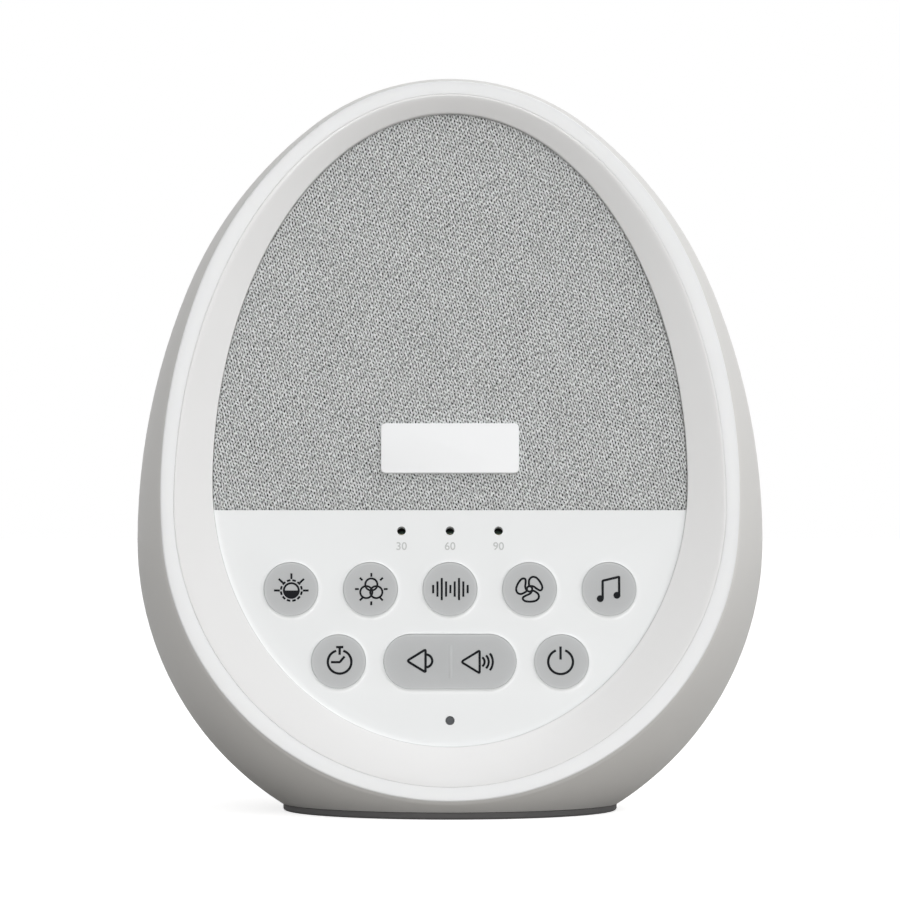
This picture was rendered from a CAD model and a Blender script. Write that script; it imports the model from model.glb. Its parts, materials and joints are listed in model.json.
import json
from math import asin, cos, hypot, pi, radians, sin, sqrt

import bmesh
import bpy
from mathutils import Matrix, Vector


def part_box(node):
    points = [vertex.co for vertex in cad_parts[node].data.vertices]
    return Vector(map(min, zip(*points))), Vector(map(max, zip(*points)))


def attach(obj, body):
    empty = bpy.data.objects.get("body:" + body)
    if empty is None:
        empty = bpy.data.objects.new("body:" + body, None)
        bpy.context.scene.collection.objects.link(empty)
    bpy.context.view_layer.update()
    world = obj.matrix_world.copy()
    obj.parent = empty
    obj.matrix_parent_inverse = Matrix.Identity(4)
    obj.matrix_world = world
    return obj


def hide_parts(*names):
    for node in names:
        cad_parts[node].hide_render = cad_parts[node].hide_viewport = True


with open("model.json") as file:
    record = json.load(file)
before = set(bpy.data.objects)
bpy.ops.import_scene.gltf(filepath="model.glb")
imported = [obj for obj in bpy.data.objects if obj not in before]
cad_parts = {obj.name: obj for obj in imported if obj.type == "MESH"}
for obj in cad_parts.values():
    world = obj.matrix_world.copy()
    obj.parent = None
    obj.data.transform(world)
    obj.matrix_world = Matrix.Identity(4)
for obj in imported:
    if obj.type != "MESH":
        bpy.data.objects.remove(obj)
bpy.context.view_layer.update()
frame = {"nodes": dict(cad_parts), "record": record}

bl_info = {
    "name": "Egg sound machine",
    "version": (1, 0, 0),
    "blender": (4, 5, 0),
    "location": "View3D > Sidebar > Sound machine",
    "description": "Models and finishes the visible pieces of an egg-shaped sound machine",
    "category": "Add Mesh",
}

# -------- shape, in metres

MM = 0.001

# The egg's section: one arc below the waist and three tangent arcs above it.
EGG_RADIUS = 56.75 * MM
PAD_HEIGHT = 1.3 * MM
WAIST_Z = 48.8 * MM
BELLY_RADIUS = 56.2 * MM
WAIST_RADIUS = 119.35 * MM
SHOULDER_RADIUS = 72.9 * MM
SHOULDER_FROM = radians(22.5)
SHOULDER_TO = radians(52.3)

# The face leans back. Its pieces are drawn flat, x to the right, y up and z out, and then stood up.
FACE_TILT = radians(11.3)
FACE_ORIGIN = Vector((0, -21.2 * MM, 66.8 * MM))
FACE_UP = Vector((0, sin(FACE_TILT), cos(FACE_TILT)))
FACE_OUT = Vector((0, -cos(FACE_TILT), sin(FACE_TILT)))

# Egg-shaped outlines on the face: half width, centre height, upper reach and lower reach.
MOUTH = tuple(n * MM for n in (49.2, -10.8, 74.9, 51.3))
WINDOW = tuple(n * MM for n in (42.4, -6.5, 67.6, 48.0))
FABRIC_LINE = -11.75 * MM
AROUND = 256  # points round each of these outlines
ALONG_LINE = 64  # of them, those on the cloth's straight lower edge

RING_BAND = 1.4 * MM
RING_TONGUE = 3.3 * MM  # depth of the tongue that seats the ring
TONGUE_WIDTH = 1.3 * MM
LIP_WALL = 0.35 * MM
DISH_DEPTH = 2.4 * MM
PANEL_DEPTH = 3.2 * MM
PANEL_BACK = 5.0 * MM
LEDGE_DEPTH = 6.4 * MM
LEDGE_WIDTH = 2.0 * MM
LEDGE_THICKNESS = 1.8 * MM
FLANGE_DEPTH = 9.0 * MM
FLANGE_INSET = 0.2 * MM
SEAM = 0.02 * MM  # what shows of the gap between two fitted pieces
RELIEF = 0.16 * MM  # how much wider a key's hole is below its rim
HOLE_MARGIN = 0.25 * MM  # the plate's holes under the collars are this much wider
COLLAR_SINK = 0.02 * MM
COLLAR_LIP = 0.03 * MM  # rounding where a collar rolls over into its hole
COLLAR_LAND = 0.1 * MM  # straight part of the hole under that rounding
COLLAR_ROOT = 0.6 * MM  # how deep a collar reaches into the plate

KEY_RADIUS = 4.85 * MM
KEY_TOP = -2.95 * MM
KEY_SKIRT_RADIUS = 5.7 * MM
KEY_SKIRT_TOP = -5.1 * MM
KEY_SKIRT_BOTTOM = -6.0 * MM
PILL_RADIUS = 2.5 * MM
PILL_BOTTOM = -6.9 * MM
UPPER_ROW = -26.1 * MM
LOWER_ROW = -39.15 * MM
KEY_PITCH = 14.15 * MM
SIDE_KEY = 19.8 * MM
KEY_RINGS = (0.3, 0.6, 0.75, 0.85, 0.93)  # rings on a key's top, as shares of its radius
RIM_DEPTH = "rim_depth"  # a mesh attribute of the keys, which their finish reads
KEYS = {
    "brightness_key": (-2 * KEY_PITCH, UPPER_ROW),
    "colour_key": (-KEY_PITCH, UPPER_ROW),
    "noise_key": (0, UPPER_ROW),
    "fan_key": (KEY_PITCH, UPPER_ROW),
    "music_key": (2 * KEY_PITCH, UPPER_ROW),
    "timer_key": (-SIDE_KEY, LOWER_ROW),
    "power_key": (SIDE_KEY, LOWER_ROW),
}
ROCKER_SWELL = 0.10 * MM  # what the rocker is wider than a key
ROCKER_REACH = 11.7 * MM - KEY_RADIUS  # from its middle to the centre of its round end
DIVIDER_LENGTH = 5.95 * MM
DIVIDER_X = 0.14 * MM

LAMP_PITCH = 8.65 * MM
LAMP_ROW = -15.5 * MM
LAMP_HOLE = 0.78 * MM
CHARGE_HOLE = 0.82 * MM
CHARGE_ROW = -49.7 * MM
NUMERAL_ROW = -18.36 * MM
INK = 0.03 * MM  # thickness of the symbols' print
INK_LIFT = 0.035 * MM  # middle of a printed line over a key's top
PATCH_SINK = 0.01 * MM  # a printed area starts this much under that middle
NUMERAL_INK = 0.01 * MM  # half the thickness of the numbers' print
NUMERAL_LIFT = 0.012 * MM

PLATE_SIZE = (24.7 * MM, 9.05 * MM, 0.88 * MM)
PLATE_ROW = -0.62 * MM
PLATE_CORNER = 0.85 * MM
PLATE_EDGE = 0.14 * MM

CLOTH_ROLL = 0.35 * MM
CLOTH_THICKNESS = 0.4 * MM
CLOTH_SINK = 0.05 * MM  # how far it lies under the panel's face
CLOTH_LIFT = 0.3 * MM  # what its turned edge stays off the ledge
CLOTH_MIDDLE = 14 * MM  # height of its middle on the face
CLOTH_CROWN = 0.04 * MM

PARTING_SHADOW = (0.16, 0.155, 0.15)
WHITE = (1, 1, 1)


# -------- settings that a user would change


def colour(name, description, value):
    return bpy.props.FloatVectorProperty(
        name=name,
        description=description,
        subtype="COLOR",
        size=3,
        min=0,
        max=1,
        default=value,
    )


def length(name, description, value):
    return bpy.props.FloatProperty(
        name=name,
        description=description,
        subtype="DISTANCE",
        unit="LENGTH",
        min=0,
        precision=5,
        default=value,
    )


class SoundMachineColours(bpy.types.PropertyGroup):
    housing: colour("Housing", "Moulded egg shells", (0.695, 0.69, 0.675))
    ring: colour("Ring", "Light ring round the face", (0.88, 0.89, 0.895))
    bezel: colour("Bezel", "Dished bezel", (0.80, 0.80, 0.80))
    panel: colour("Panel", "Control panel", (0.85, 0.865, 0.87))
    plate: colour("Nameplate", "Bare plate on the cloth", (0.90, 0.91, 0.92))
    yarn: colour("Yarn", "Light side of the knit", (0.76, 0.775, 0.775))
    gap: colour("Gap", "Dark holes between the stitches", (0.03, 0.031, 0.031))
    key: colour("Key", "Soft keys", (0.465, 0.475, 0.48))
    ink: colour("Ink", "Symbols on the keys", (0.012, 0.013, 0.015))
    numeral: colour("Numeral", "Numbers under the lamps", (0.55, 0.56, 0.56))
    pad: colour("Pad", "Rubber pad under the body", (0.100, 0.098, 0.098))


class SoundMachineSizes(bpy.types.PropertyGroup):
    ring_edge: length("Ring edge", "Rounding of the light ring's edges", 0.15 * MM)
    bezel_edge: length("Bezel edge", "Width of the bend where the bezel's dish begins", 0.9 * MM)
    lip_edge: length("Lip edge", "Rounding of the bezel's inner lip", 0.30 * MM)
    panel_rise: length("Panel rise", "How far the panel's border rises to the lip", 0.5 * MM)
    panel_border: length("Panel border", "Width of that rising border", 1.0 * MM)
    collar_width: length("Collar width", "Width of the collar round a key", 1.1 * MM)
    collar_height: length("Collar height", "Height of that collar", 0.30 * MM)
    key_edge: length("Key edge", "Rounding of a key's rim", 0.14 * MM)
    divider: length("Divider", "Width of the ridge across the volume rocker", 0.55 * MM)
    ink_line: length("Ink line", "Width of a line of a symbol", 0.43 * MM)
    numeral_weight: length("Numeral weight", "What the numbers' lines are thickened by", 0.02 * MM)
    numeral_height: length("Numeral height", "Height of the numbers", 1.4 * MM)
    stitch: length("Stitch", "Length of one stitch of the knit", 0.60 * MM)
    pad_edge: length("Pad edge", "Rounding of the pad's lower edge", 0.45 * MM)


# -------- modelling helpers


def leave_edit_mode():
    if bpy.context.object and bpy.context.object.mode != "OBJECT":
        bpy.ops.object.mode_set(mode="OBJECT")


def pick(*pieces):
    """Select only these objects; the first is the active one."""
    leave_edit_mode()
    bpy.ops.object.select_all(action="DESELECT")
    for piece in pieces:
        piece.select_set(True)
    bpy.context.view_layer.objects.active = pieces[0]


def named(name, piece=None):
    piece = piece or bpy.context.object
    piece.name = piece.data.name = name
    return piece


def begin(name, add, **settings):
    """Add a primitive with nothing else selected, and name it."""
    leave_edit_mode()
    bpy.ops.object.select_all(action="DESELECT")
    add(**settings)
    return named(name)


def edit_mesh(piece):
    return bmesh.from_edit_mesh(piece.data)


def settle():
    """Carry the selected object's place, turn and size into its mesh."""
    bpy.ops.object.transform_apply(location=True, rotation=True, scale=True)


def select_edges(piece, test):
    """In edit mode, select the edges that pass a test of the edge's middle and the edge."""
    bpy.ops.mesh.select_mode(type="EDGE")
    bpy.ops.mesh.select_all(action="DESELECT")
    mesh = edit_mesh(piece)
    for edge in mesh.edges:
        if test((edge.verts[0].co + edge.verts[1].co) / 2, edge):
            edge.select_set(True)
    mesh.select_flush_mode()
    bmesh.update_edit_mesh(piece.data)


def chain(name, points, closed=False):
    """A line of edges through points, drawn by extruding one vertex."""
    piece = begin(name, bpy.ops.mesh.primitive_plane_add, size=MM)
    bpy.ops.object.mode_set(mode="EDIT")
    bpy.ops.mesh.select_mode(type="VERT")
    bpy.ops.mesh.merge(type="CENTER")
    bpy.ops.transform.translate(value=points[0])
    for start, end in zip(points, points[1:]):
        step = Vector(end) - Vector(start)
        bpy.ops.mesh.extrude_region_move(TRANSFORM_OT_translate={"value": step})
    if closed:
        bpy.ops.mesh.select_all(action="SELECT")
        mesh = edit_mesh(piece)
        mesh.edges.new([v for v in mesh.verts if len(v.link_edges) == 1])
        bmesh.update_edit_mesh(piece.data)
    return piece


def clean(piece):
    """In edit mode, merge doubled vertices and point all faces outwards."""
    bpy.ops.mesh.select_mode(type="VERT")
    bpy.ops.mesh.select_all(action="SELECT")
    bpy.ops.mesh.remove_doubles(threshold=0.001 * MM)
    bpy.ops.mesh.normals_make_consistent(inside=False)
    leave_edit_mode()
    return piece


def lathe(name, profile, steps, centre=(0, 0), closed=False):
    """Spin a profile of (radius, height) points round an upright axis."""
    x, y = centre
    piece = chain(name, [(x + r, y, z) for r, z in profile], closed)
    bpy.ops.mesh.select_all(action="SELECT")
    bpy.ops.mesh.spin(steps=steps, angle=2 * pi, center=(x, y, 0), axis=(0, 0, 1))
    return clean(piece)


def stadium(name, profile, steps, closed=False):
    """Carry a profile round the rocker's long rounded outline: two half turns and two straights.

    The profile's radius is measured from the centres of the round ends."""
    piece = chain(name, [(ROCKER_REACH, LOWER_ROW - r, z) for r, z in profile], closed)
    across = Vector((-2 * ROCKER_REACH, 0, 0))
    bpy.ops.mesh.select_all(action="SELECT")
    for end, step in ((ROCKER_REACH, across), (-ROCKER_REACH, -across)):
        bpy.ops.mesh.spin(steps=steps, angle=pi, center=(end, LOWER_ROW, 0), axis=(0, 0, -1))
        bpy.ops.mesh.extrude_region_move(TRANSFORM_OT_translate={"value": step})
    return clean(piece)


def loops(name, rings, cap_first=False, cap_last=False):
    """A skin through closed rings of equally many points, each extruded from the one before."""
    piece = begin(name, bpy.ops.mesh.primitive_circle_add, vertices=len(rings[0]), radius=MM)
    bpy.ops.object.mode_set(mode="EDIT")
    mesh = edit_mesh(piece)
    place = mesh.verts.layers.int.new("place")
    for i, vertex in enumerate(mesh.verts):
        vertex[place] = i
    bmesh.update_edit_mesh(piece.data)
    if cap_first:
        bpy.ops.mesh.select_all(action="SELECT")
        bpy.ops.mesh.edge_face_add()
    bpy.ops.mesh.select_mode(type="EDGE")
    bpy.ops.mesh.select_all(action="DESELECT")
    for edge in edit_mesh(piece).edges:
        edge.select_set(True)
    for ring in rings:
        if ring is not rings[0]:
            bpy.ops.mesh.extrude_edges_move()
        mesh = edit_mesh(piece)
        place = mesh.verts.layers.int["place"]
        for vertex in mesh.verts:
            if vertex.select:
                vertex.co = ring[vertex[place]]
        bmesh.update_edit_mesh(piece.data)
    if cap_last:
        bpy.ops.mesh.edge_face_add()
    clean(piece)
    piece.data.attributes.remove(piece.data.attributes["place"])
    return piece


def cap(piece, *levels):
    """Close the open ends of an upright tube, each given by its height."""
    pick(piece)
    bpy.ops.object.mode_set(mode="EDIT")
    for level in levels:
        select_edges(
            piece, lambda middle, edge: edge.is_boundary and abs(middle.z - level) < 0.01 * MM
        )
        bpy.ops.mesh.edge_face_add()
    return clean(piece)


def join(first, *others):
    pick(first, *others)
    bpy.ops.object.join()
    return first


def combine(piece, tool, operation):
    """Cut a tool out of a piece, or weld it on; the tool is used up."""
    pick(piece)
    modifier = piece.modifiers.new("combine", "BOOLEAN")
    modifier.operation = operation
    modifier.object = tool
    modifier.solver = "EXACT"
    bpy.ops.object.modifier_apply(modifier=modifier.name)
    pick(tool)
    bpy.ops.object.delete()
    return piece


def soften(piece, test, width, segments):
    """Bevel the edges that pass a test."""
    pick(piece)
    bpy.ops.object.mode_set(mode="EDIT")
    select_edges(piece, test)
    bpy.ops.mesh.bevel(offset=width, segments=segments, profile=0.5, clamp_overlap=True)
    leave_edit_mode()


def smooth(piece, angle):
    pick(piece)
    bpy.ops.object.shade_smooth_by_angle(angle=radians(angle))
    return piece


def stand_up(piece):
    """Turn a piece that was drawn flat into the leaning plane of the face."""
    pick(piece)
    piece.rotation_euler = (pi / 2 - FACE_TILT, 0, 0)
    piece.location = FACE_ORIGIN
    settle()
    return piece


def finish_piece(piece, slot, material, *replaced, body="housing"):
    """Give a finished piece its material, its body and the CAD nodes that it stands for."""
    piece.data.materials.clear()
    piece.data.materials.append(material)
    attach(piece, body)
    if replaced:
        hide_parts(*replaced)


def dress(node, material):
    """Give one of the frame's own nodes a material."""
    slots = frame["nodes"][node].data.materials
    slots.clear()
    slots.append(material)


# -------- lines and rings of points


def shares(steps):
    return [i / steps for i in range(steps + 1)]


def quarter(steps):
    """The angles of a quarter turn."""
    return [pi / 2 * t for t in shares(steps)]


def rounding(centre, radius, start, end, steps):
    """Points of an arc, as (across, height)."""
    turns = [start + (end - start) * t for t in shares(steps)]
    return [(centre[0] + radius * cos(turn), centre[1] + radius * sin(turn)) for turn in turns]


def toward(ring, other, distance):
    """A ring's points, each moved a distance towards its partner in another ring."""
    starts, ends = [Vector(p) for p in ring], [Vector(p) for p in other]
    return [a + (b - a).normalized() * distance for a, b in zip(starts, ends)]


def bend(first, corner, last, steps):
    """Rings that round the corner between two others."""
    triples = [tuple(map(Vector, points)) for points in zip(first, corner, last)]
    return [
        [(1 - t) ** 2 * a + 2 * t * (1 - t) * b + t * t * c for a, b, c in triples]
        for t in shares(steps)
    ]


def egg_arcs():
    """Centre, radius, start and end of each arc of the egg's section, from the pad to the top."""
    floor_angle = asin((WAIST_Z - PAD_HEIGHT) / BELLY_RADIUS)
    belly = (EGG_RADIUS - BELLY_RADIUS, WAIST_Z)
    waist = (EGG_RADIUS - WAIST_RADIUS, WAIST_Z)
    reach = WAIST_RADIUS - SHOULDER_RADIUS
    shoulder = (waist[0] + reach * cos(SHOULDER_FROM), WAIST_Z + reach * sin(SHOULDER_FROM))
    crown_radius = SHOULDER_RADIUS + shoulder[0] / cos(SHOULDER_TO)
    crown = (0, shoulder[1] + (SHOULDER_RADIUS - crown_radius) * sin(SHOULDER_TO))
    return [
        (belly, BELLY_RADIUS, -floor_angle, 0),
        (waist, WAIST_RADIUS, 0, SHOULDER_FROM),
        (shoulder, SHOULDER_RADIUS, SHOULDER_FROM, SHOULDER_TO),
        (crown, crown_radius, SHOULDER_TO, pi / 2),
    ]


def egg_radius(z):
    """The egg's radius at a height."""
    for centre, radius, _, end in egg_arcs():
        if z <= centre[1] + radius * sin(end) + 1e-9:
            rise = max(-1.0, min(1.0, (z - centre[1]) / radius))
            return max(0.0, centre[0] + radius * sqrt(1 - rise * rise))
    return 0.0


def egg_reach(turn, z):
    """How far the egg's skin is from the mouth's centre, in a plane at height z above the face."""
    near, far = 0.0, 90 * MM
    for _ in range(40):
        middle = (near + far) / 2
        up = MOUTH[1] + middle * sin(turn)
        point = FACE_ORIGIN + Vector((middle * cos(turn), 0, 0)) + up * FACE_UP + z * FACE_OUT
        if hypot(point.x, point.y) < egg_radius(point.z):
            near = middle
        else:
            far = middle
    return near


def outline_reach(outline, turn, inset):
    """How far an outline is from its centre in a direction."""
    half_width, _, upper, lower = outline
    a = half_width - inset
    b = (upper if sin(turn) > 0 else lower) - inset
    return a * b / hypot(b * cos(turn), a * sin(turn))


def ring_round(centre, z, reach):
    """A ring of points at height z, given how far it reaches from its centre in each direction."""
    points = []
    for i in range(AROUND):
        turn = 2 * pi * i / AROUND
        far = reach(turn)
        points.append((far * cos(turn), centre + far * sin(turn), z))
    return points


def outline_ring(outline, inset, z):
    """One of the face's egg outlines as a ring of points."""
    return ring_round(outline[1], z, lambda turn: outline_reach(outline, turn, inset))


def egg_ring(inset, z):
    """The outline of the egg's skin in a plane parallel to the face."""
    return ring_round(MOUTH[1], z, lambda turn: egg_reach(turn, z) - inset)


def cloth_ring(inset, z):
    """The outline of the cloth: the window's upper part, closed by a line above the panel."""
    half_width, centre, upper, lower = WINDOW
    line = FABRIC_LINE + inset
    a = half_width - inset
    dip = asin((centre - line) / (lower - inset))
    on_arc = AROUND - ALONG_LINE
    points = []
    for i in range(on_arc):
        t = -dip + (pi + 2 * dip) * i / on_arc
        b = (upper if sin(t) > 0 else lower) - inset
        points.append((a * cos(t), centre + b * sin(t), z))
    end = a * cos(dip)
    return points + [(end * (2 * i / ALONG_LINE - 1), line, z) for i in range(ALONG_LINE)]


# -------- finishes


class Finish:
    """The nodes of a material or of the world, with a short way to add each kind that is used."""

    def __init__(self, owner, shader="Principled BSDF"):
        owner.use_nodes = True
        self.owner, self.tree = owner, owner.node_tree
        self.shader = self.tree.nodes[shader]

    def put(self, node, inputs):
        """Set a node's inputs, by name or number, to plain values or to outputs of other nodes."""
        for socket, value in inputs.items():
            if isinstance(value, bpy.types.NodeSocket):
                self.tree.links.new(value, node.inputs[socket])
            else:
                node.inputs[socket].default_value = value

    def add(self, kind, inputs, out=0, **settings):
        node = self.tree.nodes.new(f"ShaderNode{kind}")
        for name, value in settings.items():
            setattr(node, name, value)
        self.put(node, inputs)
        return node.outputs[out]

    def surface(self, inputs):
        """Set the shader's own inputs, which ends the work on the finish."""
        self.put(self.shader, inputs)
        return self.owner

    def coordinates(self, turn=(0, 0, 0)):
        place = self.add("TexCoord", {}, "Object")
        return self.add("Mapping", {"Vector": place, "Rotation": turn})

    def slanted(self, vector, turn, size):
        """Turn the coordinates in their plane and measure them in a grain's width and length."""
        inputs = {"Vector": vector, "Rotation": (0, 0, radians(turn)), "Scale": (*size, 1)}
        return self.add("Mapping", inputs, vector_type="TEXTURE")

    def noise(self, vector, grain, detail=2.0, roughness=0.5, out="Fac"):
        """Random values that change over about the length of a grain."""
        inputs = {"Vector": vector, "Scale": 1 / grain, "Detail": detail, "Roughness": roughness}
        return self.add("TexNoise", inputs, out)

    def spread(self, value, low, high, source=(0.3, 0.7)):
        """Carry a value from one range to another."""
        ends = {"From Min": source[0], "From Max": source[1], "To Min": low, "To Max": high}
        return self.add("MapRange", {"Value": value, **ends})

    def tint(self, value, dark, light):
        """Mix two colours, plain or from other nodes, by a value from 0 to 1."""
        ends = [c if isinstance(c, bpy.types.NodeSocket) else (*c, 1) for c in (dark, light)]
        inputs = {"Factor": value, "A": ends[0], "B": ends[1]}
        return self.add("Mix", inputs, "Result", data_type="RGBA")

    def bump(self, height, depth):
        return self.add("Bump", {"Strength": 1, "Distance": depth, "Height": height}, "Normal")

    def maths(self, operation, *values):
        return self.add("Math", dict(enumerate(values)), operation=operation)

    def total(self, first, *others):
        for value in others:
            first = self.maths("ADD", first, value)
        return first

    def wave(self, vector, across, up):
        """A plain wave in the plane of the cloth, as waves per metre to the right and upwards."""
        steps = (2 * pi * across, 2 * pi * up, 0)
        turn = self.add("VectorMath", {0: vector, 1: steps}, "Value", operation="DOT_PRODUCT")
        return self.maths("COSINE", turn)

    def ramp(self, value, *stops):
        """Carry a value through a curve given as (position, result) stops."""
        node = self.tree.nodes.new("ShaderNodeValToRGB")
        elements = node.color_ramp.elements
        while len(elements) < len(stops):
            elements.new(0.5)
        for element, (position, result) in zip(elements, stops):
            element.position = position
            element.color = (result, result, result, 1)
        self.put(node, {"Fac": value})
        return node.outputs["Color"]


def new_finish(name):
    return Finish(bpy.data.materials.new(name))


def shade(base, amount):
    return tuple(max(0.0, min(1.0, c * amount)) for c in base)


def moulded_plastic(name, base, rough, parted=False):
    """Fine spark-eroded plastic: a tiny grain, and faint, broad changes of tone and gloss.

    A parted shell also has a hairline where its two halves meet, on the plane y = 0."""
    finish = new_finish(name)
    vector = finish.coordinates()
    broad = finish.noise(vector, 14 * MM, 3)
    tone = finish.spread(broad, 0, 1, (0.1, 0.9))
    base_colour = finish.tint(tone, shade(base, 0.99), shade(base, 1.01))
    if parted:
        away = finish.maths("ABSOLUTE", finish.add("SeparateXYZ", {"Vector": vector}, "Y"))
        clear = finish.spread(away, 0, 1, (0.03 * MM, 0.10 * MM))
        base_colour = finish.tint(clear, PARTING_SHADOW, base_colour)
    return finish.surface({
        "Base Color": base_colour,
        "Roughness": finish.spread(broad, rough - 0.01, rough + 0.01, (0.1, 0.9)),
        "Normal": finish.bump(finish.noise(vector, 0.12 * MM), 0.006 * MM),
    })


def diffuser_plastic(name, base):
    """Milky plastic that light soaks into."""
    finish = new_finish(name)
    broad = finish.noise(finish.coordinates(), 20 * MM)
    return finish.surface({
        "Base Color": finish.tint(finish.spread(broad, 0, 1), shade(base, 0.985), base),
        "Roughness": finish.spread(broad, 0.30, 0.36),
        "Subsurface Weight": 0.25,
        "Subsurface Radius": (1.2, 1.2, 1.1),
        "Subsurface Scale": 1.0 * MM,
    })


def silicone(name, base):
    """Soft-touch rubber with a dusty sheen, paler where light leaks in at a key's rim."""
    finish = new_finish(name)
    vector = finish.coordinates()
    broad = finish.noise(vector, 5 * MM, 3)
    depth = finish.add("Attribute", {}, "Fac", attribute_name=RIM_DEPTH)
    inward = finish.spread(depth, 0, 1, (0, 3.6 * MM))
    glow = finish.ramp(inward, (0, 0.42), (0.14, 0.16), (0.42, 0.08), (1, 0))
    tone = finish.maths("MULTIPLY_ADD", finish.spread(broad, 0, 1), 0.08, glow)
    return finish.surface({
        "Base Color": finish.tint(tone, shade(base, 0.98), shade(base, 1.5)),
        "Roughness": finish.spread(broad, 0.55, 0.65),
        "Normal": finish.bump(finish.noise(vector, 0.09 * MM), 0.004 * MM),
        "Sheen Weight": 0.15,
        "Sheen Roughness": 0.4,
    })


# Each set of the knit's rows: waves per stitch to the right and upwards, and its weight.
KNIT_ROWS = ((1.28, 0.35, 2.0), (0.89, -0.64, 0.85), (0.39, 0.99, 0.5), (0.58, -0.43, 0.5))


def knit(name, yarn, gap, stitch):
    """A fine knit: pale slanting stitches, with dark, uneven holes where its rows cross."""
    finish = new_finish(name)
    flat = finish.coordinates(turn=(-(pi / 2 - FACE_TILT), 0, 0))
    wander = finish.noise(flat, 1.5 * MM, 2, 0.6, "Color")
    shift = {0: wander, 1: (0.62 * MM, 0.62 * MM, 0), 2: flat}
    loose = finish.add("VectorMath", shift, "Vector", operation="MULTIPLY_ADD")
    rows = [
        finish.maths("MULTIPLY", finish.wave(loose, x / stitch, y / stitch), weight)
        for x, y, weight in KNIT_ROWS
    ]
    hole = finish.spread(finish.total(*rows), 0, 1, (1.1, 3.4))
    uneven = finish.noise(flat, 0.45 * MM, 1)
    bands = finish.noise(finish.slanted(flat, 24, (4 * MM, 11 * MM)), 1, 1)
    strength = finish.maths(
        "MULTIPLY", finish.spread(uneven, 0.3, 1.8), finish.spread(bands, 0.75, 1.25)
    )
    streaks = finish.noise(finish.slanted(loose, 27, (0.34 * MM, 0.6 * MM)), 1, 1)
    tone = finish.total(
        finish.maths("MULTIPLY_ADD", finish.maths("MULTIPLY", hole, strength), -3.1, 0.76),
        finish.spread(streaks, -0.36, 0.36),
        finish.spread(finish.noise(flat, 5 * MM, 3), -0.03, 0.03),
    )
    level = finish.spread(tone, 0, 1, (0, 1))
    return finish.surface({
        "Base Color": finish.tint(level, gap, yarn),
        "Roughness": 0.9,
        "Sheen Weight": 0.2,
        "Specular IOR Level": 0.2,
        "Normal": finish.bump(level, 0.08 * MM),
    })


def plain_finish(name, base, rough, metal=0.0, gloss=0.5, grain=0.3 * MM, depth=0.004 * MM):
    """For prints, rubber and inner parts: tone and gloss vary, and the surface has a fine grain."""
    finish = new_finish(name)
    vector = finish.coordinates()
    broad = finish.noise(vector, 4 * MM, 3)
    return finish.surface({
        "Base Color": finish.tint(finish.spread(broad, 0, 1), shade(base, 0.94), base),
        "Roughness": finish.spread(broad, rough - 0.05, rough + 0.05),
        "Normal": finish.bump(finish.noise(vector, grain), depth),
        "Metallic": metal,
        "Specular IOR Level": gloss,
    })


# -------- shells, ring, bezel and panel


class SOUND_OT_housing(bpy.types.Operator):
    """Dress the two shells of the egg"""

    bl_idname = "sound.housing"
    bl_label = "Housing"

    def execute(self, context):
        base = tuple(context.scene.sound_colours.housing)
        material = moulded_plastic("housing_plastic", base, 0.45, parted=True)
        for node in ("front_shell", "rear_shell"):
            dress(node, material)
        return {"FINISHED"}


class SOUND_OT_light_ring(bpy.types.Operator):
    """Model the light ring, with rounded edges and the tongue that seats it in the front shell"""

    bl_idname = "sound.light_ring"
    bl_label = "Light ring"

    def execute(self, context):
        edge, rim = context.scene.sound_sizes.ring_edge, 0.04 * MM
        under = LIP_WALL + SEAM
        rings = [
            outline_ring(MOUTH, -TONGUE_WIDTH, -RING_TONGUE),
            outline_ring(MOUTH, -TONGUE_WIDTH, -RING_BAND),
            egg_ring(under, -RING_BAND),
            egg_ring(under, -edge - SEAM),
            egg_ring(0, -edge - SEAM),
        ]
        for turn in quarter(6):
            rings.append(egg_ring(edge * (1 - cos(turn)), -edge * (1 - sin(turn))))
        for turn in quarter(3):
            rings.append(outline_ring(MOUTH, -rim * (1 - sin(turn)), -rim * (1 - cos(turn))))
        rings += [outline_ring(MOUTH, 0, -RING_TONGUE), list(rings[0])]
        piece = smooth(stand_up(loops("diffuser_ring", rings)), 50)
        material = diffuser_plastic("diffuser_plastic", tuple(context.scene.sound_colours.ring))
        finish_piece(piece, "ring", material, "light_ring")
        return {"FINISHED"}


class SOUND_OT_ring_lip(bpy.types.Operator):
    """Model the thin lip of the housing that hides the light ring's side"""

    bl_idname = "sound.ring_lip"
    bl_label = "Ring lip"

    def execute(self, context):
        top = -context.scene.sound_sizes.ring_edge - 2 * SEAM
        bevel = 0.05 * MM
        section = [
            (LIP_WALL, -RING_BAND),
            (0, -RING_BAND),
            (0, top - bevel),
            (bevel, top),
            (LIP_WALL, top),
            (LIP_WALL, -RING_BAND),
        ]
        rings = [egg_ring(inset, z) for inset, z in section]
        piece = smooth(stand_up(loops("housing_lip", rings)), 50)
        finish_piece(piece, "housing", bpy.data.materials["housing_plastic"])
        return {"FINISHED"}


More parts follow.
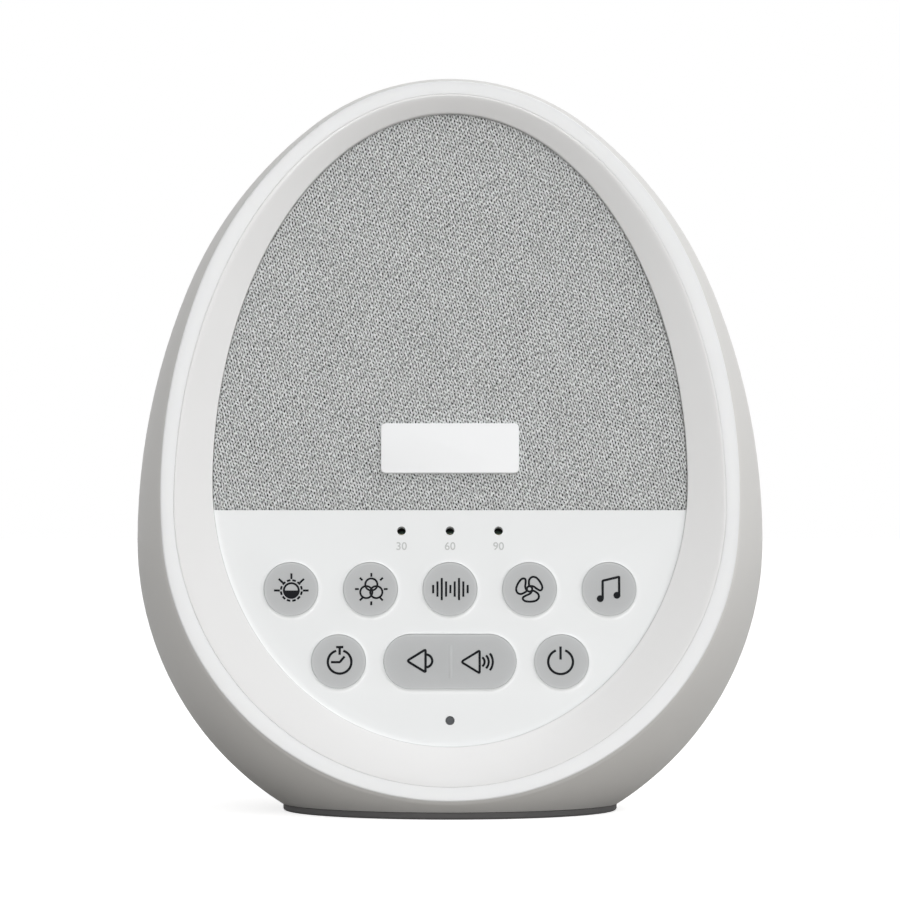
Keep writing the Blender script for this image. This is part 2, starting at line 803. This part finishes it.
class SOUND_OT_bezel(bpy.types.Operator):
    """Model the dished bezel with soft rims, down to the ledge that carries cloth and panel"""

    bl_idname = "sound.bezel"
    bl_label = "Bezel"

    def execute(self, context):
        sizes, rim = context.scene.sound_sizes, 0.05 * MM
        rings = [outline_ring(MOUTH, SEAM, -FLANGE_DEPTH)]
        for turn in quarter(3):
            inset = SEAM + rim * (1 - cos(turn))
            rings.append(outline_ring(MOUTH, inset, -rim * (1 - sin(turn))))
        shore = outline_ring(MOUTH, SEAM + rim + sizes.bezel_edge / 2, 0)
        lip = outline_ring(WINDOW, 0, -DISH_DEPTH)
        rings += bend(rings[-1], shore, toward(shore, lip, sizes.bezel_edge), 6)
        below = outline_ring(WINDOW, 0, -DISH_DEPTH - sizes.lip_edge)
        rings += bend(toward(lip, shore, sizes.lip_edge), lip, below, 6)
        ledge = [
            (0, LEDGE_DEPTH),
            (LEDGE_WIDTH, LEDGE_DEPTH),
            (LEDGE_WIDTH, LEDGE_DEPTH + LEDGE_THICKNESS),
            (FLANGE_INSET, LEDGE_DEPTH + LEDGE_THICKNESS),
            (FLANGE_INSET, FLANGE_DEPTH),
        ]
        rings += [outline_ring(WINDOW, inset, -depth) for inset, depth in ledge]
        rings.append(list(rings[0]))
        piece = smooth(stand_up(loops("dished_bezel", rings)), 45)
        base = tuple(context.scene.sound_colours.bezel)
        finish_piece(piece, "bezel", moulded_plastic("bezel_plastic", base, 0.22), "front_bezel")
        return {"FINISHED"}


def collar_profile(inner, width, height):
    """A low bead round a key's hole, which swells from the panel and rolls over into the hole."""
    lip = COLLAR_LIP
    crest = -PANEL_DEPTH + height - COLLAR_SINK
    swell = [
        (inner + lip + (width - lip) * (1 - sin(turn)), crest - height * cos(turn))
        for turn in quarter(10)
    ]
    roll = rounding((inner + lip, crest - lip), lip, pi / 2, pi, 3)
    floor = -PANEL_DEPTH - COLLAR_ROOT
    wall = [(inner, crest - COLLAR_LAND), (inner + RELIEF, floor)]
    return [(inner + width, floor), *swell, *roll[1:], *wall]


class SOUND_OT_panel(bpy.types.Operator):
    """Model the control panel, with a raised collar round each key and holes for the lamps"""

    bl_idname = "sound.panel"
    bl_label = "Control panel"

    def execute(self, context):
        sizes = context.scene.sound_sizes
        inner = KEY_RADIUS + SEAM
        slot_inner = inner + ROCKER_SWELL
        plate = self.plate(sizes)
        holes = [(centre, inner + HOLE_MARGIN) for centre in KEYS.values()]
        holes += [((i * LAMP_PITCH, LAMP_ROW), LAMP_HOLE) for i in (-1, 0, 1)]
        holes.append(((0, CHARGE_ROW), CHARGE_HOLE))
        tools = []
        for (x, y), radius in holes:
            size = {"vertices": 64, "radius": radius, "depth": 8 * MM}
            place = {"location": (x, y, -PANEL_DEPTH)}
            tools.append(begin("drill", bpy.ops.mesh.primitive_cylinder_add, **size, **place))
            settle()
        ends = (-PANEL_DEPTH - 4 * MM, -PANEL_DEPTH + 4 * MM)
        wall = [(slot_inner + HOLE_MARGIN, z) for z in ends]
        tools.append(cap(stadium("rocker_slot", wall, 32), *ends))
        combine(plate, join(*tools), "DIFFERENCE")
        profile = collar_profile(inner, sizes.collar_width, sizes.collar_height)
        collars = [
            lathe(f"collar_{name}", profile, 96, centre, closed=True)
            for name, centre in KEYS.items()
        ]
        slot_profile = collar_profile(slot_inner, sizes.collar_width, sizes.collar_height)
        collars.append(stadium("collar_rocker", slot_profile, 48, closed=True))
        piece = named("key_panel", combine(plate, join(*collars), "UNION"))
        smooth(stand_up(piece), 40)
        base = tuple(context.scene.sound_colours.panel)
        finish_piece(piece, "panel", moulded_plastic("panel_plastic", base, 0.25), "control_panel")
        return {"FINISHED"}

    def plate(self, sizes):
        """The window's lower part, with a border that curves up to the bezel's lip."""
        rings = [outline_ring(WINDOW, SEAM, -PANEL_BACK)]
        for turn in quarter(7):
            inset = SEAM + sizes.panel_border * (1 - cos(turn))
            height = sizes.panel_rise * (1 - sin(turn))
            rings.append(outline_ring(WINDOW, inset, -PANEL_DEPTH + height))
        plate = loops("panel_plate", rings, cap_first=True, cap_last=True)
        pick(plate)
        bpy.ops.object.mode_set(mode="EDIT")
        bpy.ops.mesh.select_all(action="SELECT")
        bpy.ops.mesh.bisect(
            plane_co=(0, FABRIC_LINE - SEAM, 0),
            plane_no=(0, 1, 0),
            use_fill=True,
            clear_outer=True,
        )
        return clean(plate)


# -------- keys


def mark_rim(piece, centre, radius, half=0.0):
    """Store at each vertex how far inside the key's outline it is."""
    depths = []
    for vertex in piece.data.vertices:
        across = max(0.0, abs(vertex.co.x - centre[0]) - half)
        depths.append(max(0.0, radius - hypot(across, vertex.co.y - centre[1])))
    attribute = piece.data.attributes.new(RIM_DEPTH, "FLOAT", "POINT")
    attribute.data.foreach_set("value", depths)
    return piece


class SOUND_OT_keys(bpy.types.Operator):
    """Model the soft round keys and the volume rocker"""

    bl_idname = "sound.keys"
    bl_label = "Keys"

    def execute(self, context):
        sizes = context.scene.sound_sizes
        material = silicone("key_silicone", tuple(context.scene.sound_colours.key))
        profile = self.profile(sizes.key_edge)
        for name, centre in KEYS.items():
            piece = mark_rim(lathe(f"soft_{name}", profile, 96, centre), centre, KEY_RADIUS)
            finish_piece(smooth(stand_up(piece), 40), "key", material, name, body=name)
        rocker = join(self.rocker(sizes.key_edge), self.ridge(sizes.divider))
        smooth(stand_up(rocker), 40)
        finish_piece(rocker, "key", material, "volume_rocker", body="volume_rocker")
        return {"FINISHED"}

    def profile(self, edge):
        """A round key, from the middle of its slightly domed top to its skirt and contact pill."""
        dome = 0.03 * MM
        top = [(share * KEY_RADIUS, KEY_TOP + dome * (1 - share)) for share in (0, *KEY_RINGS)]
        rim = rounding((KEY_RADIUS - edge, KEY_TOP - edge), edge, radians(86), 0, 4)
        skirt = [
            (KEY_RADIUS, KEY_TOP - 0.6 * MM),
            (KEY_RADIUS, KEY_TOP - 1.0 * MM),
            (KEY_RADIUS, KEY_SKIRT_TOP),
            (KEY_SKIRT_RADIUS, KEY_SKIRT_TOP),
            (KEY_SKIRT_RADIUS, KEY_SKIRT_BOTTOM),
            (PILL_RADIUS, KEY_SKIRT_BOTTOM),
            (PILL_RADIUS, PILL_BOTTOM),
            (0, PILL_BOTTOM),
        ]
        return top + rim + skirt

    def rocker(self, edge):
        """The long key, whose wall tapers so that it can tip inside its collar."""
        radius = KEY_RADIUS + ROCKER_SWELL
        top = [(share * radius, KEY_TOP) for share in (0.1, *KEY_RINGS)]
        rim = rounding((radius - edge, KEY_TOP - edge), edge, pi / 2, 0, 4)
        wall = [*top, *rim, (KEY_RADIUS - 0.15 * MM, KEY_SKIRT_BOTTOM)]
        piece = cap(stadium("soft_volume_rocker", wall, 48), KEY_TOP, KEY_SKIRT_BOTTOM)
        return mark_rim(piece, (0, LOWER_ROW), radius, ROCKER_REACH)

    def ridge(self, width):
        """The low ridge that divides the rocker's two halves."""
        piece = begin("divider", bpy.ops.mesh.primitive_cube_add, size=1)
        piece.scale = (width, DIVIDER_LENGTH, 0.08 * MM)
        piece.location = (DIVIDER_X, LOWER_ROW, KEY_TOP)
        settle()
        soften(piece, lambda middle, edge: middle.z > KEY_TOP, 0.03 * MM, 2)
        attribute = piece.data.attributes.new(RIM_DEPTH, "FLOAT", "POINT")
        attribute.data.foreach_set("value", [0.5 * MM] * len(piece.data.vertices))
        return piece


# -------- symbols and numbers, in millimetres


def arc(centre, radius, start, end, steps=24):
    """Points of an arc, whose start and end are in degrees."""
    return rounding(centre, radius, radians(start), radians(end), steps)


def ring_of(centre, radius, steps=40):
    return arc(centre, radius, 0, 360, steps)


def ray(centre, turn, near, far):
    return [arc(centre, reach, turn, turn, 1)[0] for reach in (near, far)]


def corner(tip, before, after, radius):
    """A rounded corner between two straight lines."""
    start, end = (toward([tip], [other], radius) for other in (before, after))
    return [tuple(ring[0]) for ring in bend(start, [tip], end, 5)]


def bent_line(*points):
    """A line through points, with each of its corners a little rounded."""
    line = [points[0]]
    for before, tip, after in zip(points, points[1:], points[2:]):
        line += corner(tip, before, after, 0.12)
    return line + [points[-1]]


def rounded(points, steps=5):
    """A smooth closed line through points."""
    n = len(points)
    result = []
    for i in range(n):
        four = [points[(i + k) % n] for k in (-1, 0, 1, 2)]
        for t in shares(steps)[:-1]:
            weights = (
                (-t + 2 * t * t - t**3) / 2,
                (2 - 5 * t * t + 3 * t**3) / 2,
                (t + 4 * t * t - 3 * t**3) / 2,
                (t**3 - t * t) / 2,
            )
            result.append(tuple(sum(w * p[k] for w, p in zip(weights, four)) for k in (0, 1)))
    return result + result[:1]


def brightness_symbol():
    sun = (0.07, -0.26)
    lines = [ring_of(sun, 1.32)]
    lines += [ray(sun, turn, 2.05, 3.08) for turn in (0, 43, 90, 137, 180)]
    lines += [arc(sun, 1.86, turn - 10, turn + 10, 4) for turn in range(15, 375, 30)]
    return lines, [arc(sun, 1.25, 180, 360, 20)]


def colour_symbol():
    lines = [ring_of(centre, 1.08) for centre in ((0.15, 0.83), (-0.74, -0.55), (1.04, -0.55))]
    lines += [ray((0.15, 0.0), turn, 2.22, 2.90) for turn in range(0, 360, 45)]
    return lines, []


def noise_symbol():
    heights = (0.75, 1.38, 2.00, 1.38, 0.75, 1.38, 2.00, 1.38, 0.75)
    places = [0.07 + (i - 4) * 0.767 for i in range(len(heights))]
    return [[(x, -height), (x, height)] for x, height in zip(places, heights)], []


def blade(turn):
    """One blade of the fan: a smooth closed line from the hub out to the tip and back."""
    points = [(-0.05, 0.60), (-0.08, 1.52), (0.19, 2.01), (0.68, 2.21), (1.30, 1.99), (1.90, 1.26)]
    points += [(2.26, 0.42), (2.17, -0.08), (1.84, -0.24), (1.28, 0.06), (0.77, 0.44), (0.31, 0.56)]
    t = radians(turn)
    return rounded([(x * cos(t) - y * sin(t), x * sin(t) + y * cos(t)) for x, y in points])


def fan_symbol():
    return [*map(blade, (0, 120, 240)), ring_of((0.0, 0.02), 0.48, 24)], []


def music_symbol():
    beam = bent_line((-1.14, -1.74), (-1.14, 1.50), (1.80, 2.22), (1.80, -1.14))
    return [beam], [ring_of((-1.58, -1.74), 0.62), ring_of((1.40, -1.12), 0.62)]


def timer_symbol():
    case = arc((0.21, -0.07), 2.10, 107, 432, 44)
    stem, button = [(0.21, 1.22), (0.21, 2.59)], [(-0.42, 2.59), (0.86, 2.59)]
    return [case, stem, button, bent_line((-1.32, -0.12), (0.24, -0.12), (1.08, 0.92))], []


def speaker(x, y):
    """The small outlined loudspeaker of the volume symbols: a triangle that points left."""
    tips = [(x - 3.30, y), (x, y + 2.05), (x, y - 2.05)]
    line = []
    for i, (tip, radius) in enumerate(zip(tips, (0.5, 0.3, 0.3))):
        line += corner(tip, tips[i - 1], tips[(i + 1) % 3], radius)
    return line + line[:1]


def quieter_symbol():
    return [speaker(-4.34, 0.12), arc((-4.30, 0.12), 1.15, -84, 84, 16)], []


def louder_symbol():
    waves = ((1.00, 54), (1.73, 43), (2.46, 38))
    return [speaker(5.27, -0.06), *(arc((5.14, -0.06), r, -a, a, 12) for r, a in waves)], []


def power_symbol():
    return [arc((-0.17, -0.05), 2.2, 112, 428, 44), [(-0.17, 0.35), (-0.17, 2.70)]], []


# Each symbol's key, what draws its lines and filled areas, and its line's share of the ink's width.
SYMBOLS = {
    "brightness": ("brightness_key", brightness_symbol, 0.85),
    "colour": ("colour_key", colour_symbol, 0.82),
    "noise": ("noise_key", noise_symbol, 0.88),
    "fan": ("fan_key", fan_symbol, 0.88),
    "music": ("music_key", music_symbol, 1.0),
    "timer": ("timer_key", timer_symbol, 1.0),
    "power": ("power_key", power_symbol, 1.0),
    "quieter": ("volume_rocker", quieter_symbol, 1.0),
    "louder": ("volume_rocker", louder_symbol, 0.95),
}


def print_chain(points, level, closed=False):
    """A symbol's points as a chain of edges, closed if they end where they began."""
    flat = [Vector((x * MM, y * MM, level)) for x, y in points]
    if (flat[0] - flat[-1]).length < 0.01 * MM:
        flat, closed = flat[:-1], True
    return chain("print", flat, closed)


def print_line(points, width, level):
    """One printed line: an edge chain given a round section and then pressed flat."""
    print_chain(points, 0)
    leave_edit_mode()
    bpy.ops.object.convert(target="CURVE")
    curve = bpy.context.object.data
    curve.bevel_depth = width / 2
    curve.bevel_resolution = 2
    curve.use_fill_caps = True
    bpy.ops.object.convert(target="MESH")
    piece = bpy.context.object
    piece.scale.z = INK / (width / 2)
    piece.location.z = level
    settle()
    bpy.ops.object.mode_set(mode="EDIT")
    return clean(piece)


def print_patch(points, level):
    """One printed area: a filled outline with a little thickness."""
    piece = print_chain(points, level, closed=True)
    bpy.ops.mesh.select_all(action="SELECT")
    bpy.ops.mesh.edge_face_add()
    bpy.ops.mesh.extrude_region_move(TRANSFORM_OT_translate={"value": (0, 0, INK)})
    return clean(piece)


class SOUND_OT_symbols(bpy.types.Operator):
    """Print the symbols on the keys"""

    bl_idname = "sound.symbols"
    bl_label = "Key symbols"

    def execute(self, context):
        ink, line = context.scene.sound_colours.ink, context.scene.sound_sizes.ink_line
        material = plain_finish("key_ink", tuple(ink), 0.8, gloss=0.1)
        level = KEY_TOP + INK_LIFT
        for name, (body, draw, share) in SYMBOLS.items():
            lines, patches = draw()
            parts = [print_line(points, share * line, level) for points in lines]
            parts += [print_patch(points, level - PATCH_SINK) for points in patches]
            piece = named(f"symbol_{name}", join(*parts))
            piece.location = (*KEYS.get(body, (0, LOWER_ROW)), 0)
            settle()
            smooth(stand_up(piece), 60)
            finish_piece(piece, "key", material, body=body)
        return {"FINISHED"}


class SOUND_OT_numerals(bpy.types.Operator):
    """Print the minutes under the three timer lamps"""

    bl_idname = "sound.numerals"
    bl_label = "Numerals"

    def execute(self, context):
        sizes = context.scene.sound_sizes
        material = plain_finish("numeral_ink", tuple(context.scene.sound_colours.numeral), 0.5)
        for i, minutes in enumerate(("30", "60", "90")):
            text = begin("numeral", bpy.ops.object.text_add).data
            text.body = minutes
            text.size = sizes.numeral_height / 0.70  # a figure's height is 0.70 of the font's size
            text.align_x = text.align_y = "CENTER"
            text.extrude = NUMERAL_INK
            text.offset = sizes.numeral_weight
            text.resolution_u = 4
            bpy.ops.object.convert(target="MESH")
            piece = named(f"numeral_{minutes}")
            piece.location = ((i - 1) * LAMP_PITCH, NUMERAL_ROW, -PANEL_DEPTH + NUMERAL_LIFT)
            settle()
            bpy.ops.object.mode_set(mode="EDIT")
            finish_piece(stand_up(clean(piece)), "panel", material)
        return {"FINISHED"}


# -------- cloth, nameplate, pad


class SOUND_OT_cloth(bpy.types.Operator):
    """Stretch the knit over the grille, with its edge rolled down into the gap"""

    bl_idname = "sound.cloth"
    bl_label = "Grille cloth"

    def execute(self, context):
        colours, sizes = context.scene.sound_colours, context.scene.sound_sizes
        rings = [cloth_ring(SEAM, -LEDGE_DEPTH + CLOTH_LIFT)]
        for turn in quarter(4):
            inset = SEAM + CLOTH_ROLL * (1 - cos(turn))
            z = -PANEL_DEPTH - CLOTH_SINK - CLOTH_ROLL * (1 - sin(turn))
            rings.append(cloth_ring(inset, z))
        flat = rings[-1]
        for share in (0.97, 0.9, 0.75, 0.55, 0.3, 0.1):
            rings.append([
                (x * share, y * share + CLOTH_MIDDLE * (1 - share), z + CLOTH_CROWN * (1 - share))
                for x, y, z in flat
            ])
        piece = loops("knit_cloth", rings, cap_last=True)
        pick(piece)
        modifier = piece.modifiers.new("thickness", "SOLIDIFY")
        modifier.thickness = CLOTH_THICKNESS
        modifier.offset = -1
        modifier.use_even_offset = False
        bpy.ops.object.modifier_apply(modifier=modifier.name)
        smooth(stand_up(piece), 60)
        material = knit("grey_knit", tuple(colours.yarn), tuple(colours.gap), sizes.stitch)
        finish_piece(piece, "cloth", material, "grille_cloth")
        return {"FINISHED"}


class SOUND_OT_nameplate(bpy.types.Operator):
    """Model the bare plate on the cloth"""

    bl_idname = "sound.nameplate"
    bl_label = "Nameplate"

    def execute(self, context):
        thickness = PLATE_SIZE[2]
        piece = begin("bare_plate", bpy.ops.mesh.primitive_cube_add, size=1)
        piece.scale = PLATE_SIZE
        piece.location = (0, PLATE_ROW, -PANEL_DEPTH + thickness / 2)
        settle()

        def upright(middle, edge):
            return abs(edge.verts[0].co.z - edge.verts[1].co.z) > thickness / 2

        def on_top(middle, edge):
            return middle.z > -PANEL_DEPTH + 0.8 * thickness

        soften(piece, upright, PLATE_CORNER, 6)
        soften(piece, on_top, PLATE_EDGE, 3)
        smooth(stand_up(piece), 40)
        base = tuple(context.scene.sound_colours.plate)
        finish_piece(piece, "nameplate", moulded_plastic("plate_plastic", base, 0.32), "nameplate")
        return {"FINISHED"}


class SOUND_OT_base_pad(bpy.types.Operator):
    """Model the rubber pad under the body, with a soft lower edge"""

    bl_idname = "sound.base_pad"
    bl_label = "Base pad"

    def execute(self, context):
        low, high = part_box("base_pad")
        radius, edge, bevel = high.x, context.scene.sound_sizes.pad_edge, 0.12 * MM
        profile = [(0, low.z), (radius * 0.6, low.z)]
        profile += rounding((radius - edge, low.z + edge), edge, -pi / 2, 0, 6)
        profile += [(radius, high.z - bevel), (radius - bevel, high.z), (0, high.z)]
        piece = smooth(lathe("rubber_pad", profile, 128), 40)
        base = tuple(context.scene.sound_colours.pad)
        material = plain_finish("pad_rubber", base, 0.75, grain=0.15 * MM, depth=0.01 * MM)
        finish_piece(piece, "pad", material, "base_pad")
        return {"FINISHED"}


# -------- the frame's own parts that stay

# For each material slot: colour, roughness and whether it is metal.
INNER_FINISHES = {
    "frame_plastic": ((0.03, 0.03, 0.03), 0.5, 0.0),
    "mat": ((0.60, 0.60, 0.60), 0.6, 0.0),
    "circuit_board": ((0.010, 0.06, 0.030), 0.45, 0.0),
    "lamp": ((0.85, 0.80, 0.50), 0.3, 0.0),
    "lens": ((0.035, 0.040, 0.045), 0.3, 0.0),
    "steel": ((0.55, 0.55, 0.56), 0.32, 1.0),
    "ferrite": ((0.05, 0.05, 0.05), 0.6, 0.0),
    "cone": ((0.02, 0.02, 0.02), 0.8, 0.0),
    "roll": ((0.015, 0.015, 0.015), 0.6, 0.0),
    "spider": ((0.55, 0.38, 0.12), 0.8, 0.0),
    "coil": ((0.60, 0.25, 0.10), 0.35, 1.0),
    "chip": ((0.015, 0.015, 0.015), 0.5, 0.0),
    "cell": ((0.05, 0.16, 0.40), 0.35, 0.0),
    "shroud": ((0.006, 0.006, 0.006), 0.7, 0.0),
    "gasket": ((0.03, 0.03, 0.03), 0.9, 0.0),
}


class SOUND_OT_inner_parts(bpy.types.Operator):
    """Give the parts inside the body, and the lamp window and screws, their finishes"""

    bl_idname = "sound.inner_parts"
    bl_label = "Inner parts"

    def execute(self, context):
        finishes = {
            slot: plain_finish(f"{slot}_finish", base, rough, metal)
            for slot, (base, rough, metal) in INNER_FINISHES.items()
        }
        for row in frame["record"]["subparts"]:
            if row["material_slot"] in finishes:
                dress(row["node"], finishes[row["material_slot"]])
        return {"FINISHED"}


# -------- stage

AIM = Vector((0, 0, 0.066))  # the middle of the body
# Each lamp's place, size in metres and power in watts.
LAMPS = {
    "front_softbox": ((0.2, -1.5, 0.7), (1.4, 1.0), 2.3),
    "low_softbox": ((0.1, -1.5, 0.11), (1.4, 0.2), 8.7),
    "top_softbox": ((0.75, -0.1, 1.3), (1.2, 1.2), 8.2),
    "right_softbox": ((1.5, -0.15, 0.3), (0.9, 0.9), 3.0),
    "top_strip": ((0.1, -0.75, 1.35), (1.4, 0.10), 2.0),
    "left_strip": ((-1.5, -0.35, 0.2), (0.14, 1.4), 5.0),
    "right_strip": ((1.5, -0.35, 0.2), (0.14, 1.4), 5.0),
}
GLOSS_LAMPS = ("left_strip", "right_strip")  # these draw highlights only
ROOM_LIGHT = (0.39, 0.39, 0.39)
FLOOR_PAINT = (0.315, 0.30, 0.28)
FLOOR_SEEN = (0.95, 0.95, 0.95)
FLOOR_GLOW = 0.7
CAMERA_PLACE = (0, -1.091, 0.0668)
CAMERA_LENS = 240  # millimetres
CAMERA_SHIFT = -8 / 900  # 8 pixels down in a picture that is 900 wide


def seen_by(finish, *rays):
    """1 for these kinds of ray and 0 for others."""
    first, *others = [finish.add("LightPath", {}, f"Is {ray} Ray") for ray in rays]
    for other in others:
        first = finish.maths("MAXIMUM", first, other)
    return first


def stage_floor():
    """A pale floor that looks almost white and still takes the object's shadow."""
    floor = begin("floor", bpy.ops.mesh.primitive_plane_add, size=6)
    finish = new_finish("floor_paint")
    floor.data.materials.append(finish.surface({
        "Base Color": finish.tint(seen_by(finish, "Camera", "Glossy"), FLOOR_PAINT, FLOOR_SEEN),
        "Roughness": 0.9,
        "Specular IOR Level": 0.1,
        "Emission Color": (*WHITE, 1),
        "Emission Strength": finish.maths("MULTIPLY", seen_by(finish, "Camera"), FLOOR_GLOW),
    }))


def stage_world():
    """A soft room for the light on the object, and plain white where the camera looks past it."""
    world = bpy.context.scene.world = bpy.data.worlds.new("room")
    finish = Finish(world, "Background")
    seen = seen_by(finish, "Camera", "Glossy", "Transmission")
    finish.surface({"Color": finish.tint(seen, ROOM_LIGHT, WHITE)})


def stage_lamp(name, place, size, power):
    bpy.ops.object.light_add(type="AREA", location=place)
    light = bpy.context.object
    light.name = name
    light.data.shape = "RECTANGLE"
    light.data.size, light.data.size_y = size
    light.data.energy = power
    light.rotation_euler = (AIM - Vector(place)).to_track_quat("-Z", "Y").to_euler()
    light.visible_diffuse = name not in GLOSS_LAMPS


class SOUND_OT_stage(bpy.types.Operator):
    """Set the floor, the room's light, the lamps and the camera"""

    bl_idname = "sound.stage"
    bl_label = "Stage"

    def execute(self, context):
        stage_floor()
        stage_world()
        for name, lamp in LAMPS.items():
            stage_lamp(name, *lamp)
        bpy.ops.object.camera_add(location=CAMERA_PLACE, rotation=(pi / 2, 0, 0))
        camera = bpy.context.object
        camera.data.lens = CAMERA_LENS
        camera.data.sensor_width = 36
        camera.data.shift_y = CAMERA_SHIFT
        camera.data.clip_start = 0.01
        context.scene.camera = camera
        context.scene.view_settings.view_transform = "Standard"
        return {"FINISHED"}


# -------- panel, registration and the run

PIECES = (
    SOUND_OT_housing,
    SOUND_OT_light_ring,
    SOUND_OT_ring_lip,
    SOUND_OT_bezel,
    SOUND_OT_panel,
    SOUND_OT_keys,
    SOUND_OT_symbols,
    SOUND_OT_numerals,
    SOUND_OT_cloth,
    SOUND_OT_nameplate,
    SOUND_OT_base_pad,
    SOUND_OT_inner_parts,
    SOUND_OT_stage,
)


class SOUND_PT_tools(bpy.types.Panel):
    """Lists the settings and the pieces of the sound machine"""

    bl_idname = "SOUND_PT_tools"
    bl_label = "Sound machine"
    bl_space_type = "VIEW_3D"
    bl_region_type = "UI"
    bl_category = "Sound machine"

    def draw(self, context):
        for group in (context.scene.sound_sizes, context.scene.sound_colours):
            box = self.layout.box()
            for name in group.__annotations__:
                box.prop(group, name)
        for piece in PIECES:
            self.layout.operator(piece.bl_idname)


CLASSES = (SoundMachineColours, SoundMachineSizes, *PIECES, SOUND_PT_tools)


def register():
    for cls in CLASSES:
        bpy.utils.register_class(cls)
    bpy.types.Scene.sound_colours = bpy.props.PointerProperty(type=SoundMachineColours)
    bpy.types.Scene.sound_sizes = bpy.props.PointerProperty(type=SoundMachineSizes)


def unregister():
    del bpy.types.Scene.sound_sizes
    del bpy.types.Scene.sound_colours
    for cls in reversed(CLASSES):
        bpy.utils.unregister_class(cls)


def main():
    register()
    for piece in PIECES:
        group, name = piece.bl_idname.split(".")
        result = getattr(getattr(bpy.ops, group), name)()
        if result != {"FINISHED"}:
            raise RuntimeError(f"{piece.bl_label} did not finish")


if __name__ == "__main__":
    main()
